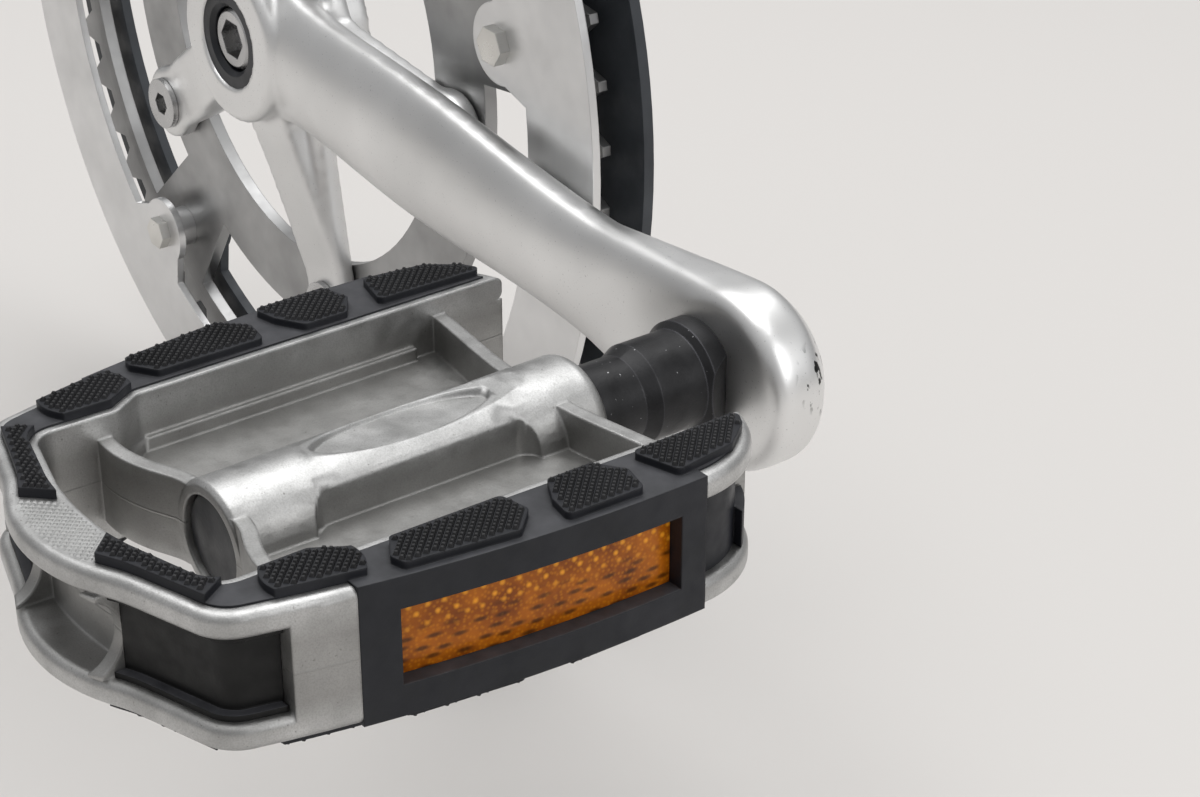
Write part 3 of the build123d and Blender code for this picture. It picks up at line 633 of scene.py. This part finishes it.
def flowing_crank():
    """The crank in one skin, its arm widening in a straight run to touch the eye's round."""
    shell = shell_of("crank_arm")
    section = arm_section(crank_length - FLOW_LENGTH)
    shell.from_mesh(bored_hull([*section, *eye_points()]))
    skin = modified(shell, "REMESH", mode="VOXEL", voxel_size=CRANK_VOXEL)
    dress(skin, "crank_alloy")
    piece = add_object("crank_forging", skin)
    arm = piece.vertex_groups.new(name="arm")
    for vertex in skin.vertices:
        from_pedal = Vector((vertex.co.x - pedal_x, 0.0, vertex.co.z - pedal_z)).length
        from_crank = math.hypot(vertex.co.x, vertex.co.z)
        weight = rise(from_pedal, BORE_KEPT, BORE_FREE) * rise(from_crank, BOSS_KEPT, BOSS_FREE)
        arm.add([vertex.index], weight, "REPLACE")
    for name, group, times in (("even", "", EVEN_TIMES), ("flow", "arm", FLOW_TIMES)):
        smooth = piece.modifiers.new(name, "SMOOTH")
        smooth.factor = 0.5
        smooth.iterations = times
        smooth.vertex_group = group
    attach(piece, "crank")
    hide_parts("crank_arm")


flowing_crank()

# Studs on the pads and the knurl on the bare nose, with their pitch, their height, and the inset that
# keeps them clear of their face's outline
STUD_SIZE = (1.5 * MM, 0.55 * MM, 0.62 * MM)
KNURL_SIZE = (1.45 * MM, 0.14 * MM, 0.75 * MM)
KNURL_END = nose_tip + 9.0 * MM

# A stud's half width at its foot and its top, as a share of the pitch, and how deep its foot is sunk
FOOT_SHARE = 0.47
TOP_SHARE = 0.20
STUD_SINK = 0.05 * MM

# A CAD corner lies on a flat face's level within this much
LEVEL_WITHIN = 0.02 * MM


def flat_triangles(name, level):
    """The triangles of a CAD node that lie flat at this height, each as three points in X and Y."""
    mesh = frame["nodes"][name].data
    mesh.calc_loop_triangles()
    found = []
    for triangle in mesh.loop_triangles:
        corners = [mesh.vertices[index].co for index in triangle.vertices]
        if all(abs(corner.z - level) < LEVEL_WITHIN for corner in corners):
            found.append([corner.to_2d() for corner in corners])
    return found


def steps_over(values, pitch):
    """The whole numbers of pitches that cover these values."""
    return range(math.floor(min(values) / pitch), math.ceil(max(values) / pitch) + 1)


def lattice(triangles, pitch):
    """The points of a diamond lattice that cover the triangles' extent."""
    columns = steps_over([point.x for triangle in triangles for point in triangle], pitch)
    for row in steps_over([point.y for triangle in triangles for point in triangle], pitch):
        for column in columns:
            yield Vector((column * pitch, row * pitch))
            yield Vector(((column + 0.5) * pitch, (row + 0.5) * pitch))


def covered(point, triangles):
    return any(intersect_point_tri_2d(point, *triangle) for triangle in triangles)


def well_inside(point, triangles, inset):
    """Whether a disc of radius inset round the point lies on the triangles."""
    around = (Vector((math.cos(k * math.pi / 3), math.sin(k * math.pi / 3))) * inset for k in range(6))
    return covered(point, triangles) and all(covered(point + step, triangles) for step in around)


def studs(name, node_name, size, look, end=math.inf):
    """Blunt pyramids on a node's highest and lowest faces, outboard of end, riding on the pedal."""
    pitch, height, inset = size
    low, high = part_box(node_name)
    corners = []
    faces = []
    for level, side in ((high[2], 1), (low[2], -1)):
        triangles = flat_triangles(node_name, level)
        rings = ((FOOT_SHARE * pitch, level - side * STUD_SINK), (TOP_SHARE * pitch, level + side * height))
        for point in lattice(triangles, pitch):
            if point.y >= end or not well_inside(point, triangles, inset):
                continue
            first = len(corners)
            for half, at in rings:
                for dx, dy in ((1, 0), (0, side), (-1, 0), (0, -side)):
                    corners.append((point.x + dx * half, point.y + dy * half, at))
            faces.append([first + 4 + k for k in range(4)])
            for k in range(4):
                after = (k + 1) % 4
                faces.append([first + k, first + after, first + 4 + after, first + 4 + k])
    mesh = bpy.data.meshes.new(name)
    mesh.from_pydata(corners, [], faces)
    mesh.materials.append(look)
    piece = add_object(name, mesh)
    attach(piece, "pedal")


stud_look = moulded("stud_rubber", (0.008, 0.008, 0.009), (0.018, 0.018, 0.020), (0.42, 0.58), rounding=0.15)
for tread in ("front_tread", "rear_tread"):
    studs(f"{tread}_studs", tread, STUD_SIZE, stud_look)

knurl_shades = ((0.34, 0.34, 0.335), (0.46, 0.46, 0.455))
knurl_look = turned_metal("knurled_alloy", *knurl_shades, (0.48, 0.60), 1500, 0.03, rounding=0.1)
studs("nose_knurl", "pedal_body", KNURL_SIZE, knurl_look, KNURL_END)

# Floor, lamps and sky
FLOOR_REACH = 6.0
LAMPS_AIM = Vector((0.1, -0.05, 0.0))
SKY_STRENGTH = 0.6
SKY_BRIGHT_FROM = 0.8


def add_floor():
    mesh = bpy.data.meshes.new("floor")
    signs = ((-1, -1), (1, -1), (1, 1), (-1, 1))
    corners = [(x * FLOOR_REACH, y * FLOOR_REACH, cad_box[0][2]) for x, y in signs]
    mesh.from_pydata(corners, [], [(0, 1, 2, 3)])
    mesh.materials.append(material("floor", (0.66, 0.64, 0.62), roughness=0.9))
    add_object("floor", mesh)


def add_lamp(name, place, width, power):
    """A square lamp that looks at the part."""
    data = bpy.data.lights.new(name, "AREA")
    data.shape = "SQUARE"
    data.size = width
    data.energy = power
    lamp = add_object(name, data)
    lamp.location = place
    lamp.rotation_euler = (LAMPS_AIM - Vector(place)).to_track_quat("-Z", "Y").to_euler()


def add_sky():
    """A soft grey all round that turns white overhead."""
    world = bpy.data.worlds.new("world")
    world.use_nodes = True
    background = world.node_tree.nodes["Background"]
    height = axes_of(world, node(world, "ShaderNodeTexCoord").outputs["Generated"])["Z"]
    color = ramp(world, height, (0.50, 0.50, 0.51), (1.0, 1.0, 1.0), 0.0, SKY_BRIGHT_FROM)
    feed(world, background.inputs["Color"], color)
    feed(world, background.inputs["Strength"], SKY_STRENGTH)
    bpy.context.scene.world = world


add_floor()
add_lamp("sky_panel", (-0.15, 0.1, 1.3), 1.4, 15.0)
add_lamp("side_panel", (1.1, 0.2, 0.5), 0.7, 3.0)
add_sky()
bpy.context.scene.view_settings.view_transform = "Standard"
